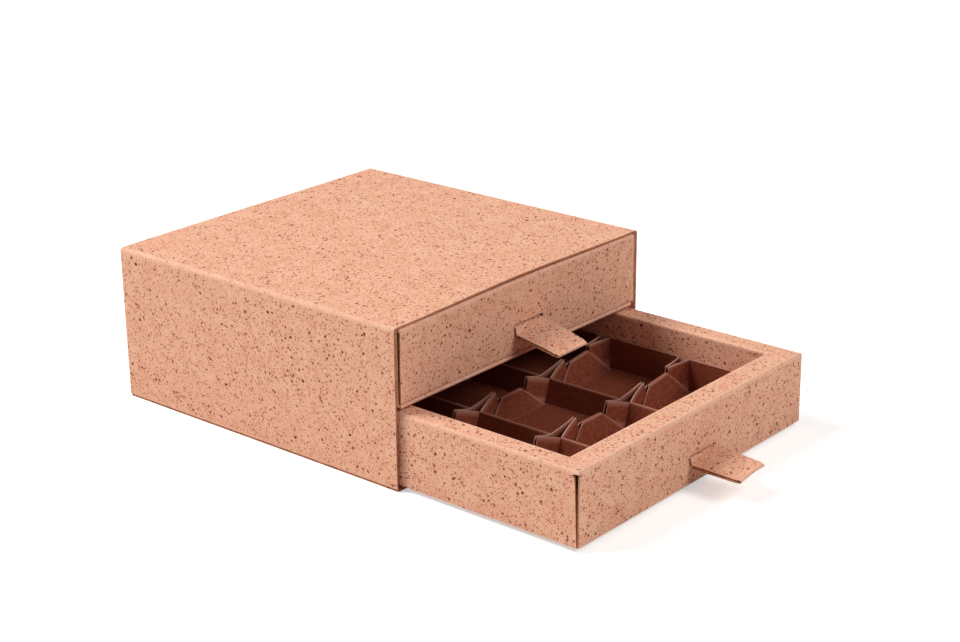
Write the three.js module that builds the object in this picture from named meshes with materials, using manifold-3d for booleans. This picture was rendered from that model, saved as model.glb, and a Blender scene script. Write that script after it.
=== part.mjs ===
// Sliding drawer gift box: a folded card sleeve with two drawers, one above the other.
// Each drawer is a tray with wide hollow walls, a base sheet, a folded paper pull tab and
// a die-cut folded insert that makes a grid of cells.
// Millimetres, +Z up. The origin is the centre of the sleeve's footprint on the table.
// The drawers slide out along -Y. The lower one stands part way out, the upper one is closed.

import * as THREE from 'three';
import { mergeVertices } from 'three/addons/utils/BufferGeometryUtils.js';
import Module from 'manifold-3d';

const wasm = await Module();
wasm.setup();

// Card and paper
const card = 0.6;                 // board of the sleeve, the shelf and the trays
const insertCard = 0.3;           // thin board of the inserts
const tabPaper = 0.4;             // strip that the pull tabs are folded from
const seat = 0.3;                 // gap left between two glued or resting sheets
const overrun = 2;                // how far a cutting block runs past what it cuts
const weld = 0.05;                // how far neighbouring panels of one sheet sink together
const mergeGap = 0.0001;          // corners nearer than this are one corner

// Sleeve
const sleeveWidth = 120;
const sleeveDepth = 120;
const sleeveFold = 1.1;           // outside radius of the sleeve's four long folds
const shelfHem = 13;              // how far the shelf's front edge is folded back under it
const shelfFold = 0.75;           // outside radius of the hem at the shelf's front edge
const lapSetback = 3;             // the floor's glue lap stops this far behind the mouth
const backFlap = 9;               // glue flaps of the back panel
const flapRelief = 1;             // clear space between a back flap and the shelf

// Drawers
const drawerHeight = 23.3;
const rearSpace = 9.1;            // left behind a closed drawer
const wallWidth = 7.4;            // width of the rim over the hollow walls at the sides and back
const frontWallWidth = 8.9;       // the same at the front, where the wall also holds the tab
const rimFold = 1.4;              // outside radius of the folds along the rim
const cornerSeam = 1.1;           // open seam where a side wall meets the front or back wall
const innerFoot = 7;              // foot of the inner wall, turned in under the insert
const footFold = 0.9;             // outside radius of the fold above the foot
const baseFlange = 11;            // flange of the base sheet, standing inside the hollow wall
const sideClearance = 0.4;        // drawer to guide, each side
const underClearance = 0.4;       // drawer to the sheet that it slides on
const overClearance = 0.4;        // upper drawer to the sleeve's top
const shelfClearance = 0.9;       // lower drawer to the shelf
const drawnOut = 66;              // how far the lower drawer stands out of the sleeve

// Pull tabs
const tabWidth = 13.2;
const tabOffset = 2.8;            // tab's middle to the right of the drawer's middle
const tabReach = 17.4;            // from the drawer front to the fold at the tab's tip
const tabOpening = 0.9;           // gap between the tab's two layers at the slot
const tabAnchor = 6;              // ends glued up and down behind the drawer front
const tabBelowMiddle = 3.6;       // slot's middle under the middle of the drawer front
const tabBend = 0.3;              // inside radius where an end turns up or down
const tabCorner = 1.2;            // rounded corners at the tab's tip
const upperTabDroop = 4.7;        // how far the tip hangs under the slot
const lowerTabDroop = 1.2;
const slotClearance = 0.35;

// Inserts
const columns = 3;
const rows = 3;
const ridgeHeight = 7.8;          // crest of a folded ridge above the cell floors
const ridgeHalf = 2.9;            // half the width of a ridge at the floor
const crestWidth = 0.6;           // blunt top of a ridge between columns
const crossCrestWidth = 1;        // the cross ridges also hold the flaps, so they are blunter
const rimWallHeight = 12;         // single upright walls round the outside
const crestLength = 9.6;          // what the slanting cuts leave of a cross ridge's crest
const dieCut = 0.15;              // clear width of a cut between two panels
const foldRise = 0.3;             // the slanting cuts and the flaps start this far over the floor
const insertClearance = 0.3;      // insert to the tray, each side
const frontSlack = 0.8;           // insert to the front of the tray
const endSlack = 1.8;             // insert to the back of the tray
const flapReach = 9.6;            // corner flap, from its fold to its free end
const flapInset = 0.9;            // how far a flap's foot stands behind the cell's edge
const crestGap = 1.9;             // end of a ridge's crest to the middle of the ridge it meets
const tipGap = 0.45;              // top corner of a flap to the middle of that ridge

const foldSteps = 4;

// Derived heights, from the table up
const shelfThickness = 2 * shelfFold;
const lowerDrawerZ = 2 * card + underClearance;
const shelfZ = lowerDrawerZ + drawerHeight + shelfClearance;
const upperDrawerZ = shelfZ + shelfThickness + underClearance;
const sleeveHeight = upperDrawerZ + drawerHeight + overClearance + card;

// Derived plan sizes
const glueFace = sleeveWidth / 2 - card - seat;
const drawerWidth = 2 * (glueFace - card - sideClearance);
const closedFrontY = -sleeveDepth / 2;
const drawerDepth = sleeveDepth - card - rearSpace;
const trayInsideWidth = drawerWidth - 2 * wallWidth;
const trayInsideDepth = drawerDepth - frontWallWidth - wallWidth;
const baseTop = card;
const footZ = baseTop + seat;
const insertZ = footZ + card + seat;
const insertWidth = trayInsideWidth - 2 * insertClearance;
const insertDepth = trayInsideDepth - frontSlack - endSlack;
const cellWidth = (insertWidth - 2 * (columns - 1) * ridgeHalf - 2 * insertCard) / columns;
const cellDepth = (insertDepth - 2 * (rows - 1) * ridgeHalf - 4 * insertCard) / rows;

const paperColour = 0xd9a283;
const insertColour = 0x4a2a22;
const paper = () => new THREE.MeshStandardMaterial({ color: paperColour, roughness: 0.9, metalness: 0 });
const darkCard = () => new THREE.MeshStandardMaterial({ color: insertColour, roughness: 0.85, metalness: 0 });

// A closed solid from a three.js geometry, with only its positions kept
function solid(geometry) {
  const bare = new THREE.BufferGeometry();
  bare.setAttribute('position', geometry.getAttribute('position').clone());
  if (geometry.index) bare.setIndex(geometry.index.clone());
  const merged = mergeVertices(bare, mergeGap);
  const vertProperties = new Float32Array(merged.getAttribute('position').array);
  const triVerts = new Uint32Array(merged.index.array);
  return new wasm.Manifold(new wasm.Mesh({ numProp: 3, vertProperties, triVerts }));
}

function geometryOf(manifold) {
  const mesh = manifold.getMesh();
  const geometry = new THREE.BufferGeometry();
  geometry.setAttribute('position', new THREE.BufferAttribute(new Float32Array(mesh.vertProperties), 3));
  geometry.setIndex(new THREE.BufferAttribute(new Uint32Array(mesh.triVerts), 1));
  geometry.computeVertexNormals();
  return geometry;
}

const join = (solids) => solids.reduce((whole, next) => whole.add(next));

// A solid with a flat outline, carried from one end to the other. place turns the outline's two
// coordinates and the end, 0 or 1, into a point, so that faces meant to line up do so exactly.
function carried(shape, place) {
  const geometry = new THREE.ExtrudeGeometry(shape, {
    depth: 1, bevelEnabled: false, curveSegments: foldSteps,
  });
  const position = geometry.getAttribute('position');
  for (let i = 0; i < position.count; i += 1) {
    position.setXYZ(i, ...place(position.getX(i), position.getY(i), position.getZ(i)));
  }
  return solid(geometry);
}

// Outlines in the Y-Z, X-Z and X-Y planes, carried between two values of the other axis
const alongX = (shape, low, high) => carried(shape, (y, z, end) => [end ? high : low, y, z]);
const alongY = (shape, low, high) => carried(shape, (x, z, end) => [x, end ? low : high, z]);
const alongZ = (shape, low, high) => carried(shape, (x, y, end) => [x, y, end ? high : low]);

// A block between two opposite corners
function block(low, high) {
  const [x, y, z] = low;
  const [farX, farY, farZ] = high;
  return alongX(outline([[y, z], [farY, z], [farY, farZ], [y, farZ]]), x, farX);
}

function outline(points) {
  return new THREE.Shape(points.map(([across, up]) => new THREE.Vector2(across, up)));
}

// A flat die-cut panel of the insert, placed by its corner and by the two directions of its edges.
// Its thickness goes to the side that across x up points away from.
function foldedPanel(points, corner, across, up, thickness) {
  const normal = new THREE.Vector3().crossVectors(across, up).normalize();
  const place = new THREE.Matrix4().makeBasis(across, up, normal);
  place.setPosition(corner.clone().addScaledVector(normal, -thickness));
  const geometry = new THREE.ExtrudeGeometry(outline(points), { depth: thickness, bevelEnabled: false });
  geometry.applyMatrix4(place);
  return solid(geometry);
}

// Rounded rectangle from its low corner to its high corner, as a shape or as the path of a hole
function roundedRectangle(low, high, radius, Kind) {
  const shape = new Kind();
  shape.moveTo(low[0] + radius, low[1]);
  shape.lineTo(high[0] - radius, low[1]);
  shape.absarc(high[0] - radius, low[1] + radius, radius, -Math.PI / 2, 0, false);
  shape.lineTo(high[0], high[1] - radius);
  shape.absarc(high[0] - radius, high[1] - radius, radius, 0, Math.PI / 2, false);
  shape.lineTo(low[0] + radius, high[1]);
  shape.absarc(low[0] + radius, high[1] - radius, radius, Math.PI / 2, Math.PI, false);
  shape.lineTo(low[0], low[1] + radius);
  shape.absarc(low[0] + radius, low[1] + radius, radius, Math.PI, 1.5 * Math.PI, false);
  return shape;
}

// The sleeve: one sheet folded into a square tube, open at the front. Its glue lap lines the floor.
function sleeveWrap() {
  const half = sleeveWidth / 2;
  const tube = roundedRectangle([-half, 0], [half, sleeveHeight], sleeveFold, THREE.Shape);
  const inner = [-half + card, card];
  const innerHigh = [half - card, sleeveHeight - card];
  tube.holes.push(roundedRectangle(inner, innerHigh, sleeveFold - card, THREE.Path));
  const lap = block(
    [card - half - weld, lapSetback - sleeveDepth / 2, card - weld],
    [half - card - seat, sleeveDepth / 2 - card - seat, 2 * card],
  );
  return alongY(tube, -sleeveDepth / 2, sleeveDepth / 2).add(lap);
}

// The back: a panel set in the rear of the tube, with a glue flap down each side
function sleeveBack() {
  const rear = sleeveDepth / 2;
  const inside = glueFace - card;
  const plan = outline([
    [-glueFace, rear],
    [-glueFace, rear - backFlap],
    [-inside, rear - backFlap],
    [-inside, rear - card],
    [inside, rear - card],
    [inside, rear - backFlap],
    [glueFace, rear - backFlap],
    [glueFace, rear],
  ]);
  return alongZ(plan, 2 * card + seat, sleeveHeight - card - seat);
}

// The shelf: a sheet between the drawers. Its front edge is hemmed, and its sides turn up
// into two flanges that are glued inside the sleeve and guide the upper drawer.
function middleShelf() {
  const front = closedFrontY;
  const rear = sleeveDepth / 2 - backFlap - flapRelief;
  const under = shelfZ;
  const over = shelfZ + shelfThickness;
  const flangeTop = sleeveHeight - card - seat;
  const hem = new THREE.Shape();
  hem.moveTo(rear, over);
  hem.lineTo(rear, over - card);
  hem.lineTo(front + shelfFold, over - card);
  hem.absarc(front + shelfFold, over - shelfFold, shelfFold - card, Math.PI / 2, 1.5 * Math.PI, false);
  hem.lineTo(front + shelfHem, under + card);
  hem.lineTo(front + shelfHem, under);
  hem.lineTo(front + shelfFold, under);
  hem.absarc(front + shelfFold, over - shelfFold, shelfFold, 1.5 * Math.PI, Math.PI / 2, true);
  hem.closePath();
  const sheet = alongX(hem, -glueFace, glueFace);
  const flange = (side) => block(
    [side < 0 ? -glueFace : glueFace - card, front, over - weld],
    [side < 0 ? -glueFace + card : glueFace, rear, flangeTop],
  );
  return join([sheet, flange(-1), flange(1)]);
}

// Section of a hollow wall of any width: outer wall, rounded fold, flat rim, rounded fold, inner
// wall and a foot turned in along the floor. X runs inwards from the drawer's outer face.
function hollowWallSection(width) {
  const top = drawerHeight;
  const inside = rimFold - card;
  const foot = footZ + card;
  const shape = new THREE.Shape();
  shape.moveTo(0, 0);
  shape.lineTo(card, 0);
  shape.lineTo(card, top - rimFold);
  shape.absarc(rimFold, top - rimFold, inside, Math.PI, Math.PI / 2, true);
  shape.lineTo(width - rimFold, top - card);
  shape.absarc(width - rimFold, top - rimFold, inside, Math.PI / 2, 0, true);
  shape.lineTo(width - card, footZ + footFold);
  shape.absarc(width - card + footFold, footZ + footFold, footFold, Math.PI, 1.5 * Math.PI, false);
  shape.lineTo(width + innerFoot, footZ);
  shape.lineTo(width + innerFoot, foot);
  shape.lineTo(width - card + footFold, foot);
  shape.absarc(width - card + footFold, footZ + footFold, footFold - card, 1.5 * Math.PI, Math.PI, true);
  shape.lineTo(width, top - rimFold);
  shape.absarc(width - rimFold, top - rimFold, rimFold, 0, Math.PI / 2, false);
  shape.lineTo(rimFold, top);
  shape.absarc(rimFold, top - rimFold, rimFold, Math.PI / 2, Math.PI, false);
  shape.closePath();
  return shape.extractPoints(foldSteps).shape;
}

// The section carried round the tray's four corners, so that the rim is unbroken. The sections
// have the same points, so a corner takes its X from the side wall and its Y from the end wall.
function hollowWallRing() {
  const side = hollowWallSection(wallWidth);
  const front = hollowWallSection(frontWallWidth);
  const corners = [[-1, -1, front], [1, -1, front], [1, 1, side], [-1, 1, side]];
  const positions = corners.flatMap(([x, y, end]) => side.flatMap((point, i) => [
    x * (drawerWidth / 2 - point.x),
    y * (drawerDepth / 2 - end[i].x),
    point.y,
  ]));
  const index = [];
  const count = side.length;
  for (let corner = 0; corner < corners.length; corner += 1) {
    const here = corner * count;
    const there = ((corner + 1) % corners.length) * count;
    for (let i = 0; i < count; i += 1) {
      const next = (i + 1) % count;
      index.push(here + i, there + next, there + i, here + i, here + next, there + next);
    }
  }
  const ring = new THREE.BufferGeometry();
  ring.setAttribute('position', new THREE.Float32BufferAttribute(positions, 3));
  ring.setIndex(index);
  return solid(ring);
}

// The tray frame: one sheet. The rim is unbroken round the corners, while the outer walls
// that fold down from it leave an open seam at each corner. A slot in the front takes the tab.
function trayFrame() {
  const halfX = drawerWidth / 2;
  const halfY = drawerDepth / 2;
  const cutX = [halfX - card - weld, halfX + overrun];
  const cutY = [halfY - card - cornerSeam, halfY - card - weld];
  const low = -overrun;
  const high = drawerHeight - rimFold;
  const slotHalf = tabWidth / 2 + slotClearance;
  const slotRise = tabOpening / 2 + tabPaper + slotClearance;
  const slotZ = drawerHeight / 2 - tabBelowMiddle;
  const cuts = [
    block([-cutX[1], -cutY[1], low], [-cutX[0], -cutY[0], high]),
    block([cutX[0], -cutY[1], low], [cutX[1], -cutY[0], high]),
    block([-cutX[1], cutY[0], low], [-cutX[0], cutY[1], high]),
    block([cutX[0], cutY[0], low], [cutX[1], cutY[1], high]),
    block(
      [tabOffset - slotHalf, -halfY - overrun, slotZ - slotRise],
      [tabOffset + slotHalf, overrun - halfY, slotZ + slotRise],
    ),
  ];
  return cuts.reduce((frame, cut) => frame.subtract(cut), hollowWallRing());
}

// The base sheet: a floor with flanges turned up inside the hollow walls at both sides and
// the back. The front has none, because the tab's ends are glued there.
function trayBase() {
  const halfX = drawerWidth / 2 - card - seat;
  const halfY = drawerDepth / 2 - card - seat;
  const endX = halfX - wallWidth;
  const endY = halfY - wallWidth;
  return join([
    block([-halfX, -halfY, 0], [halfX, halfY, card]),
    block([-halfX, -endY, 0], [card - halfX, endY, baseFlange]),
    block([halfX - card, -endY, 0], [halfX, endY, baseFlange]),
    block([-endX, halfY - card, 0], [endX, halfY, baseFlange]),
  ]);
}

// The pull tab: a strip folded double at its tip. Its two layers pass through the slot,
// then turn up and down behind the drawer front, where their ends are glued.
function pullTab(droop) {
  const middle = drawerHeight / 2 - tabBelowMiddle;
  const front = -drawerDepth / 2;
  const behind = front + card + seat;
  const tip = front - tabReach;
  const halfway = front - tabReach / 2;
  const halfGap = tabOpening / 2;
  const halfStrip = halfGap + tabPaper;
  const turnY = behind - tabBend;
  const turnRise = halfStrip + tabBend;
  const anchorRise = turnRise + tabAnchor;
  const farTurn = tabBend + tabPaper;
  const down = -Math.PI / 2;
  const up = Math.PI / 2;
  const strip = new THREE.Shape();
  strip.moveTo(behind + tabPaper, middle + anchorRise);
  strip.lineTo(behind, middle + anchorRise);
  strip.absarc(turnY, middle + turnRise, tabBend, 0, down, true);
  strip.lineTo(front, middle + halfStrip);
  strip.quadraticCurveTo(halfway, middle + halfStrip, tip, middle - droop + tabPaper);
  strip.quadraticCurveTo(tip - tabPaper, middle - droop, tip, middle - droop - tabPaper);
  strip.quadraticCurveTo(halfway, middle - halfStrip, front, middle - halfStrip);
  strip.absarc(turnY, middle - turnRise, tabBend, up, 0, true);
  strip.lineTo(behind, middle - anchorRise);
  strip.lineTo(behind + tabPaper, middle - anchorRise);
  strip.absarc(turnY, middle - turnRise, farTurn, 0, up, false);
  strip.lineTo(front, middle - halfGap);
  strip.quadraticCurveTo(halfway, middle - halfGap, tip + tabPaper, middle - droop);
  strip.quadraticCurveTo(halfway, middle + halfGap, front, middle + halfGap);
  strip.absarc(turnY, middle + turnRise, farTurn, down, 0, false);
  strip.closePath();
  const left = tabOffset - tabWidth / 2;
  const right = tabOffset + tabWidth / 2;
  const plan = roundedRectangle(
    [left, tip - tabPaper],
    [right, behind + tabPaper + overrun + tabCorner],
    tabCorner,
    THREE.Shape,
  );
  const low = middle - anchorRise - droop - overrun;
  const high = middle + anchorRise + overrun;
  return alongX(strip, left - overrun, right + overrun).intersect(alongZ(plan, low, high));
}

// Left edge of a column of cells and front edge of a row of cells, on the insert's floor
const columnEdge = (column) => -insertWidth / 2 + insertCard + column * (cellWidth + 2 * ridgeHalf);
const rowEdge = (row) => -insertDepth / 2 + 2 * insertCard + row * (cellDepth + 2 * ridgeHalf);
const floorTop = insertZ + insertCard;
const wallFootZ = insertZ + weld;
const crestZ = floorTop + ridgeHeight;
const isRidge = (line, count) => line > 0 && line < count;

// Section of a ridge: the sheet folded up to a blunt crest and down again, open underneath
function ridgeSection(middle, crest) {
  const run = ridgeHalf - crest / 2;
  const skin = insertCard * Math.hypot(run, ridgeHeight) / ridgeHeight;
  const footInside = ridgeHalf - skin;
  const crestInside = footInside - run * (ridgeHeight - insertCard) / ridgeHeight;
  return outline([
    [middle - ridgeHalf, wallFootZ],
    [middle - footInside, wallFootZ],
    [middle - footInside, floorTop],
    [middle - crestInside, crestZ - insertCard],
    [middle + crestInside, crestZ - insertCard],
    [middle + footInside, floorTop],
    [middle + footInside, wallFootZ],
    [middle + ridgeHalf, wallFootZ],
    [middle + ridgeHalf, floorTop],
    [middle + crest / 2, crestZ],
    [middle - crest / 2, crestZ],
    [middle - ridgeHalf, floorTop],
  ]);
}

// How far the end of a column panel, its crest and the tip of its flap reach past the cell's
// edge: into the cross ridge that they tuck under, or behind the outer wall
function tuck(line) {
  if (!isRidge(line, rows)) return { foot: insertCard, crest: insertCard, tip: insertCard };
  return { foot: flapInset, crest: ridgeHalf - crestGap, tip: ridgeHalf - tipGap };
}

// Height over the floor fold where the cuts and flaps start, and a straight line through two
// values that are set there and at the crest, carried on to any height
const cutZ = floorTop + foldRise;
const lineTo = (atCut, atCrest, z) => atCut + (atCrest - atCut) * (z - cutZ) / (crestZ - cutZ);

// A ridge between two columns, one cell long, its ends trimmed to meet its corner flaps
function columnRidge(line, row) {
  const front = rowEdge(row);
  const rear = front + cellDepth;
  const atFront = tuck(row);
  const atRear = tuck(row + 1);
  const middle = columnEdge(line) - ridgeHalf;
  const ridge = alongY(ridgeSection(middle, crestWidth), front - ridgeHalf, rear + ridgeHalf);
  const low = insertZ - overrun;
  const high = crestZ + overrun;
  const trimmed = outline([
    [front - atFront.foot, low],
    [rear + atRear.foot, low],
    [rear + atRear.foot, cutZ],
    [rear + lineTo(atRear.foot, atRear.crest, high), high],
    [front - lineTo(atFront.foot, atFront.crest, high), high],
    [front - atFront.foot, cutZ],
  ]);
  const reach = ridgeHalf + overrun;
  return ridge.intersect(alongX(trimmed, middle - reach, middle + reach));
}

// What the slanting cuts leave of a cross wall: full width at the floor, short at the crest
function crossOutline(column, low, high) {
  const left = columnEdge(column) + dieCut;
  const right = columnEdge(column) + cellWidth - dieCut;
  const middle = (left + right) / 2;
  return outline([
    [left, low],
    [right, low],
    [right, cutZ],
    [lineTo(right, middle + crestLength / 2, high), high],
    [lineTo(left, middle - crestLength / 2, high), high],
    [left, cutZ],
  ]);
}

function crossRidge(line, column) {
  const middle = rowEdge(line) - ridgeHalf;
  const left = columnEdge(column);
  const ridge = alongX(ridgeSection(middle, crossCrestWidth), left, left + cellWidth);
  const cut = crossOutline(column, insertZ - overrun, crestZ + overrun);
  const reach = ridgeHalf + overrun;
  return ridge.intersect(alongY(cut, middle - reach, middle + reach));
}

// Upright walls round the outside of the insert
function sideWall(line, row) {
  const outer = line === 0 ? -insertWidth / 2 : insertWidth / 2 - insertCard;
  const { foot: front } = tuck(row);
  const { foot: rear } = tuck(row + 1);
  return block(
    [outer, rowEdge(row) - front, wallFootZ],
    [outer + insertCard, rowEdge(row) + cellDepth + rear, floorTop + rimWallHeight],
  );
}

function endWall(line, column) {
  const outer = line === 0 ? rowEdge(0) - insertCard : insertDepth / 2 - 2 * insertCard;
  return alongY(crossOutline(column, wallFootZ, crestZ), outer, outer + insertCard);
}

// A corner flap: it is hinged to the end of a column wall, turns across that wall and tucks
// under the slanting end of the cross wall. A leaning wall lifts the flap's free corner.
// side is the way the flap points along X, end is -1 at the front of the cell and 1 at its rear.
function cornerFlap(line, row, side, end) {
  const leaning = isRidge(line, columns);
  const reach = tuck(end < 0 ? row : row + 1);
  const edge = end < 0 ? rowEdge(row) : rowEdge(row) + cellDepth;
  const wallFoot = columnEdge(line) - (side < 0 ? 2 * ridgeHalf : 0);
  const wallTop = leaning ? wallFoot - side * (ridgeHalf - crestWidth / 2) : wallFoot;
  const height = leaning ? ridgeHeight : rimWallHeight;
  const foot = new THREE.Vector3(wallFoot, edge + end * (reach.foot - weld), floorTop);
  const crest = new THREE.Vector3(wallTop, edge + end * (reach.crest - weld), floorTop + height);
  const up = crest.clone().sub(foot).normalize();
  const level = new THREE.Vector3(side * flapReach, end * (reach.tip - reach.crest), 0);
  const facing = level.clone().cross(up).normalize();
  const turn = facing.y * end < 0 ? 1 : -1;
  const across = up.clone().cross(facing).multiplyScalar(turn);
  const low = foldRise + dieCut;
  const top = crest.distanceTo(foot) - dieCut;
  const hinge = -turn * insertCard / 2;
  const free = turn * flapReach;
  const points = [[hinge, low], [free, low], [free, top], [hinge, top]];
  return foldedPanel(turn > 0 ? points : points.reverse(), foot, across, up, insertCard);
}

// The insert: one die-cut sheet folded into a grid of cells
function foldedInsert() {
  const panels = [];
  const lap = insertCard / 2;
  for (let row = 0; row < rows; row += 1) {
    for (let column = 0; column < columns; column += 1) {
      panels.push(block(
        [columnEdge(column) - lap, rowEdge(row) - lap, insertZ],
        [columnEdge(column) + cellWidth + lap, rowEdge(row) + cellDepth + lap, floorTop],
      ));
    }
    for (let line = 0; line <= columns; line += 1) {
      panels.push(isRidge(line, columns) ? columnRidge(line, row) : sideWall(line, row));
      for (const side of [-1, 1]) {
        const inside = side > 0 ? line < columns : line > 0;
        if (inside) panels.push(cornerFlap(line, row, side, -1), cornerFlap(line, row, side, 1));
      }
    }
  }
  for (let line = 0; line <= rows; line += 1) {
    for (let column = 0; column < columns; column += 1) {
      panels.push(isRidge(line, rows) ? crossRidge(line, column) : endWall(line, column));
    }
  }
  return join(panels);
}

function named(name, manifold, material) {
  const mesh = new THREE.Mesh(geometryOf(manifold), material);
  mesh.name = name;
  return mesh;
}

// One drawer with all that it carries, in the drawer's own frame
function drawer(prefix, droop) {
  const group = new THREE.Group();
  group.add(named(`${prefix}_tray_frame`, trayFrame(), paper()));
  group.add(named(`${prefix}_tray_base`, trayBase(), paper()));
  group.add(named(`${prefix}_pull_tab`, pullTab(droop), paper()));
  const insert = named(`${prefix}_insert`, foldedInsert(), darkCard());
  insert.position.y = frontWallWidth + frontSlack + (insertDepth - drawerDepth) / 2;
  group.add(insert);
  return group;
}

const giftBox = new THREE.Group();
giftBox.add(named('sleeve_wrap', sleeveWrap(), paper()));
giftBox.add(named('sleeve_back', sleeveBack(), paper()));
giftBox.add(named('middle_shelf', middleShelf(), paper()));

const upperDrawer = drawer('upper', upperTabDroop);
upperDrawer.position.set(0, closedFrontY + drawerDepth / 2, upperDrawerZ);
giftBox.add(upperDrawer);

const lowerDrawer = drawer('lower', lowerTabDroop);
lowerDrawer.position.set(0, closedFrontY + drawerDepth / 2 - drawnOut, lowerDrawerZ);
giftBox.add(lowerDrawer);

export default giftBox;
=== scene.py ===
# %% [markdown]
# # A sliding drawer gift box in folded card
# The box is a square sleeve with two shallow drawers, one above the other. Everything is
# folded from a few flat sheets: peach recycled card with brown flecks, and a thin dark brown
# card for the insert that parts each drawer into nine cells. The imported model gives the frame,
# so every size below is a size of that model, in millimetres.

# %% Load the frame
import math

import bmesh
import bpy
import numpy as np
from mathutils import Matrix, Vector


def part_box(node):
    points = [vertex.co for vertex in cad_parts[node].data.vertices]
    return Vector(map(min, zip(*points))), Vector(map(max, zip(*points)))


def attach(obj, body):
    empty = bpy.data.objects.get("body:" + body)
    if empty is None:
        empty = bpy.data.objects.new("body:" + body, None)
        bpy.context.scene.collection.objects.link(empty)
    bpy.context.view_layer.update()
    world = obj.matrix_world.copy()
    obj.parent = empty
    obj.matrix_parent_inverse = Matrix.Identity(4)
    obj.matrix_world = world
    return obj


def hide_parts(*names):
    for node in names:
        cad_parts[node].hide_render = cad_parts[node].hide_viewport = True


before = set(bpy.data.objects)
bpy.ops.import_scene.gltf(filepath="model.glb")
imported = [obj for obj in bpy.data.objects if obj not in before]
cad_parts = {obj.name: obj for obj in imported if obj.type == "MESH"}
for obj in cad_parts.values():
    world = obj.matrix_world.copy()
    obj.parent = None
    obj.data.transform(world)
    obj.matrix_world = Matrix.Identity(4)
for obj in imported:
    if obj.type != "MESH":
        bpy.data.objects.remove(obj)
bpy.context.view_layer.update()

# %% [markdown]
# ## Sizes
# The model is in metres and these are in millimetres, because card is bought and cut in
# millimetres. Each piece is worked out from these lengths and scaled to metres at the end.

# %% Sizes in millimetres
MM = 0.001
CARD = 0.6                                  # board of the sleeve, shelf and trays
INSERT_CARD = 0.3                           # thin board of the inserts
TAB_PAPER = 0.3                             # strip that the pull tabs are folded from
SEAT = 0.3                                  # gap between two glued sheets
SLEEVE = np.array([120.0, 120.0, 52.0])     # width, depth, height
DRAWER = np.array([116.2, 110.3, 23.3])     # width, depth, height
LOWER_Z, UPPER_Z = 1.6, 27.7                # undersides of the two drawers
DRAWN_OUT = 66.0                            # how far the lower drawer is pulled out
ASIDE = 0.25                                # the upper one lies to the right in its bay
CLOSED_Y = DRAWER[1] / 2 - SLEEVE[1] / 2    # middle of a drawer whose front is flush
DRAWER_AT = {
    "lower": np.array([0.0, CLOSED_Y - DRAWN_OUT, LOWER_Z]),
    "upper": np.array([ASIDE, CLOSED_Y, UPPER_Z]),
}
for which, place in DRAWER_AT.items():
    low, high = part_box(f"{which}_tray_frame")
    middle = (np.array(low) + np.array(high)) / 2 / MM
    print(which, "drawer, middle in the model:", middle.round(2), "here:", place)

# %% [markdown]
# ## Camera
# The photograph was taken from the left of the box's front, a little above it. The place, the
# turn and the lens come from fitting a camera to the box's straight edges in the picture.

# %% Camera
CAMERA_AT = np.array([-452.06, -423.88, 252.86])      # millimetres
AZIMUTH, ELEVATION, ROLL = (math.radians(a) for a in (49.816, 20.391, -0.516))
FOCAL_PIXELS, IMAGE_WIDTH, SENSOR = 1980.0, 960.0, 36.0
CLIP = (0.02, 20.0)                                   # nearest and farthest, in metres


def aimed(name, data, axes, at):
    """A new object in the scene at a point in metres. axes are its own x, y and z directions."""
    made = bpy.data.objects.new(name, data)
    bpy.context.scene.collection.objects.link(made)
    matrix = np.eye(4)
    matrix[:3, :3] = np.stack(axes, axis=1)
    matrix[:3, 3] = at
    made.matrix_world = matrix.T.tolist()
    return made


ahead = np.array([
    math.cos(ELEVATION) * math.sin(AZIMUTH),
    math.cos(ELEVATION) * math.cos(AZIMUTH),
    -math.sin(ELEVATION),
])
level = np.cross(ahead, [0.0, 0.0, 1.0])
level /= np.linalg.norm(level)
upright = np.cross(level, ahead)
right = math.cos(ROLL) * level + math.sin(ROLL) * upright
up = -math.sin(ROLL) * level + math.cos(ROLL) * upright
lens = bpy.data.cameras.new("photo_camera")
lens.sensor_width = SENSOR
lens.lens = FOCAL_PIXELS / IMAGE_WIDTH * SENSOR
lens.clip_start, lens.clip_end = CLIP
bpy.context.scene.camera = aimed("photo_camera", lens, (right, up, -ahead), CAMERA_AT * MM)
print("lens:", round(lens.lens, 2), "mm")

# %% [markdown]
# ## Nodes for the materials
# One small function adds a node with its settings and makes its links. Colours are written
# as they look on a screen, in sRGB, and one function turns them into the linear values that
# the renderer works with.

# %% Colour and node helpers
def linear(code, alpha=1.0):
    """sRGB to linear: c / 12.92 below 0.04045, else ((c + 0.055) / 1.055) to the power 2.4."""
    c = np.array([(code >> shift & 255) / 255 for shift in (16, 8, 0)])
    c = np.where(c <= 0.04045, c / 12.92, ((c + 0.055) / 1.055) ** 2.4)
    return (*c.tolist(), alpha)


def new_material(name):
    """An empty material with its node tree, ready for nodes."""
    material = bpy.data.materials.new(name)
    material.use_nodes = True
    material.node_tree.nodes.clear()
    return material


def node(material, kind, settings=None, **sockets):
    """Add one node. settings are its properties. Each socket gets a value, another socket, or a
    node, whose first output is meant. A socket is named with its spaces as underscores, or by
    its number after an underscore."""
    made = material.node_tree.nodes.new(f"ShaderNode{kind}")
    for key, value in (settings or {}).items():
        setattr(made, key, value)
    for key, value in sockets.items():
        socket = made.inputs[int(key[1:]) if key[0] == "_" else key.replace("_", " ")]
        if isinstance(value, bpy.types.Node):
            value = value.outputs[0]
        if isinstance(value, bpy.types.NodeSocket):
            material.node_tree.links.new(value, socket)
        else:
            socket.default_value = value
    return made


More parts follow.
